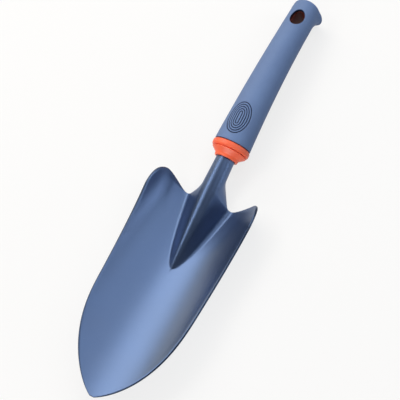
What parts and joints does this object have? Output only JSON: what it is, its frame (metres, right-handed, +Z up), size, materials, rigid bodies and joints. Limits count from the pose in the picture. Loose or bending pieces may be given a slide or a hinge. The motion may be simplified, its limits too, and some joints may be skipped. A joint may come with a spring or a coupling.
{
  "type": "garden trowel",
  "caption": "Garden hand trowel with a hollow pointed steel blade, rolled neck, plastic collar and a soft handle with a hanging hole.",
  "frame": {"origin": "centre of the bounding box's base, on the ground the trowel lies on", "axes": "+Y from the blade's point to the butt of the handle, +Z up out of the blade's hollow, +X to the right seen from above with the point towards the viewer"},
  "size_m": [0.084, 0.3278, 0.0317],
  "materials": {
    "coated_steel": "pressed steel sheet with a slate-blue satin powder coat",
    "orange_plastic": "moulded coral-orange plastic, satin",
    "soft_rubber": "soft slate-blue overmoulding with a fine matt grain",
    "pin_steel": "plain steel, hidden under the grip"
  },
  "bodies": {
    "root": {"blade": "coated_steel", "collar": "orange_plastic", "handle_core": "orange_plastic", "grip": "soft_rubber", "tang_pin": "pin_steel"}
  },
  "joints": []
}
